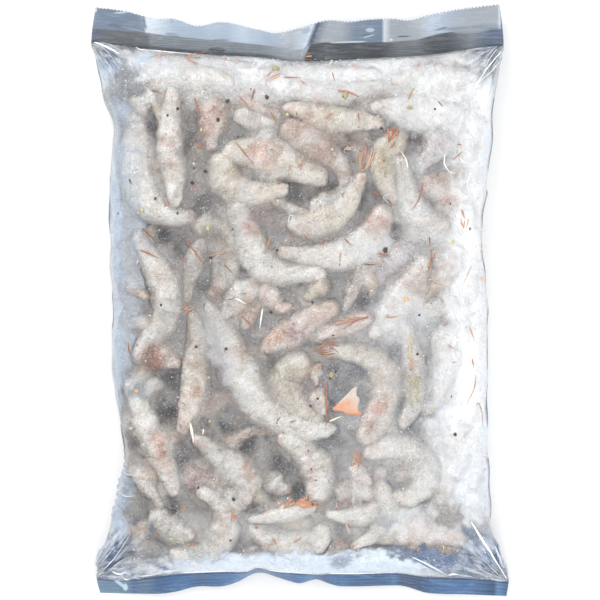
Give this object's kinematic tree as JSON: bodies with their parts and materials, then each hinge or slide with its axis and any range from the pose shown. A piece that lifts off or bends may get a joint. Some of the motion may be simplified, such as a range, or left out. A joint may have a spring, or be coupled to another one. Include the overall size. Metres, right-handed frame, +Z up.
{
  "type": "sealed clear bag of frozen peeled small shrimp",
  "caption": "Clear heat-sealed pillow bag packed full of frozen, glazed, peeled and headless small shrimp, lying flat with its front up.",
  "frame": {"origin": "middle of the bag's bounding box, on the table it lies on", "axes": "+X across the bag, +Y from the bottom seal to the top seal, +Z up out of the shown front"},
  "size_m": [0.2024, 0.2876, 0.0428],
  "materials": {
    "clear_film": "clear glossy polyethylene film, faintly blue where it is doubled or folded",
    "shrimp_flesh": "raw greyish white flesh under a frosted ice glaze, with pink and orange blushes",
    "ice_frost": "white frost and clear ice between the pieces",
    "shell_scrap": "thin orange-brown shell scraps, legs and feelers"
  },
  "bodies": {
    "root": {"sealed_bag": "clear_film"}
  },
  "joints": []
}
